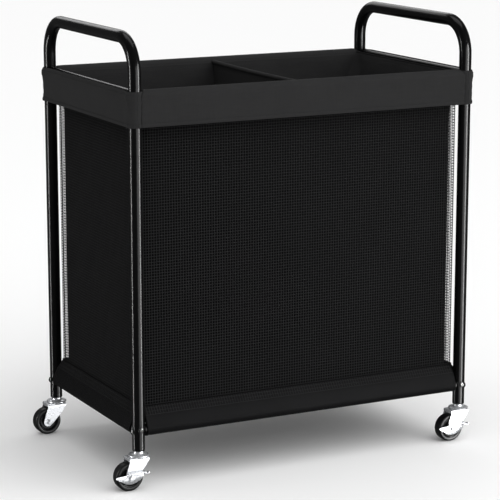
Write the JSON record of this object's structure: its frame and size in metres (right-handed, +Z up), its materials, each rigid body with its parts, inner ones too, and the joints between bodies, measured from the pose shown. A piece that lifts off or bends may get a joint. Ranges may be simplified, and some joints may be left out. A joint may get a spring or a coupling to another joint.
{
  "type": "laundry cart",
  "caption": "Rolling laundry cart: a bent-tube frame with end handles holds an open two-compartment net bag over swivel casters with brakes at the front.",
  "frame": {"origin": "middle of the whole footprint, casters trailing, on the floor", "axes": "+X along the long side towards the right handle, +Y towards the back, +Z up; the braked casters are at the front"},
  "size_m": [0.7168, 0.4212, 0.788],
  "materials": {
    "frame_black": "gloss black powder coat",
    "zinc": "bright zinc plate",
    "black_plastic": "matt moulded",
    "band_cloth": "dark grey plain-weave polyester",
    "base_cloth": "black plain-weave polyester",
    "net": "black open square net",
    "lining_cloth": "black lining cloth",
    "wheel_black": "satin black"
  },
  "bodies": {
    "cart": {"long_rail_bolt_front_left": "frame_black", "short_rail_bolt_front_left": "frame_black", "top_rail_bolt_front_left": "frame_black", "post_front_left": "frame_black", "stem_socket_front_left": "black_plastic", "caster_stem_front_left": "zinc", "long_rail_bolt_front_right": "frame_black", "short_rail_bolt_front_right": "frame_black", "top_rail_bolt_front_right": "frame_black", "post_front_right": "frame_black", "stem_socket_front_right": "black_plastic", "caster_stem_front_right": "zinc", "long_rail_bolt_back_left": "frame_black", "short_rail_bolt_back_left": "frame_black", "top_rail_bolt_back_left": "frame_black", "post_back_left": "frame_black", "stem_socket_back_left": "black_plastic", "caster_stem_back_left": "zinc", "long_rail_bolt_back_right": "frame_black", "short_rail_bolt_back_right": "frame_black", "top_rail_bolt_back_right": "frame_black", "post_back_right": "frame_black", "stem_socket_back_right": "black_plastic", "caster_stem_back_right": "zinc", "handle_left": "frame_black", "crossbar_left": "frame_black", "bottom_rail_left": "frame_black", "handle_right": "frame_black", "crossbar_right": "frame_black", "bottom_rail_right": "frame_black", "bottom_rail_front": "frame_black", "top_rail_front": "frame_black", "bottom_rail_back": "frame_black", "top_rail_back": "frame_black", "bag_net": "net", "bag_lining": "lining_cloth", "divider": "band_cloth", "base_board": "base_cloth", "top_band_front": "band_cloth", "base_sleeve_front": "base_cloth", "top_band_back": "band_cloth", "base_sleeve_back": "base_cloth", "top_band_left": "band_cloth", "base_sleeve_left": "base_cloth", "top_band_right": "band_cloth", "base_sleeve_right": "base_cloth"},
    "fork_front_left": {"caster_fork_front_left": "zinc", "wheel_axle_front_left": "zinc"},
    "roller_front_left": {"wheel_front_left": "wheel_black"},
    "brake_front_left": {"brake_lever_front_left": "zinc"},
    "fork_front_right": {"caster_fork_front_right": "zinc", "wheel_axle_front_right": "zinc"},
    "roller_front_right": {"wheel_front_right": "wheel_black"},
    "brake_front_right": {"brake_lever_front_right": "zinc"},
    "fork_back_left": {"caster_fork_back_left": "zinc", "wheel_axle_back_left": "zinc"},
    "roller_back_left": {"wheel_back_left": "wheel_black"},
    "fork_back_right": {"caster_fork_back_right": "zinc", "wheel_axle_back_right": "zinc"},
    "roller_back_right": {"wheel_back_right": "wheel_black"}
  },
  "joints": [
    {"name": "swivel_front_left", "type": "hinge", "parent": "cart", "child": "fork_front_left", "pos_m": [-0.30995, -0.18775, 0.06], "axis": [0, 0, 1], "continuous": true},
    {"name": "wheel_spin_front_left", "type": "hinge", "parent": "fork_front_left", "child": "roller_front_left", "pos_m": [-0.33045, -0.18775, 0.025], "axis": [0, 1, 0], "continuous": true},
    {"name": "brake_front_left", "type": "hinge", "parent": "fork_front_left", "child": "brake_front_left", "pos_m": [-0.33045, -0.18775, 0.025], "axis": [0, 1, 0], "range_deg": [0, 22]},
    {"name": "swivel_front_right", "type": "hinge", "parent": "cart", "child": "fork_front_right", "pos_m": [0.34005, -0.18775, 0.06], "axis": [0, 0, 1], "continuous": true},
    {"name": "wheel_spin_front_right", "type": "hinge", "parent": "fork_front_right", "child": "roller_front_right", "pos_m": [0.31955, -0.18775, 0.025], "axis": [0, 1, 0], "continuous": true},
    {"name": "brake_front_right", "type": "hinge", "parent": "fork_front_right", "child": "brake_front_right", "pos_m": [0.31955, -0.18775, 0.025], "axis": [0, 1, 0], "range_deg": [0, 22]},
    {"name": "swivel_back_left", "type": "hinge", "parent": "cart", "child": "fork_back_left", "pos_m": [-0.30995, 0.19225, 0.06], "axis": [0, 0, 1], "continuous": true},
    {"name": "wheel_spin_back_left", "type": "hinge", "parent": "fork_back_left", "child": "roller_back_left", "pos_m": [-0.33045, 0.19225, 0.025], "axis": [0, 1, 0], "continuous": true},
    {"name": "swivel_back_right", "type": "hinge", "parent": "cart", "child": "fork_back_right", "pos_m": [0.34005, 0.19225, 0.06], "axis": [0, 0, 1], "continuous": true},
    {"name": "wheel_spin_back_right", "type": "hinge", "parent": "fork_back_right", "child": "roller_back_right", "pos_m": [0.31955, 0.19225, 0.025], "axis": [0, 1, 0], "continuous": true}
  ]
}
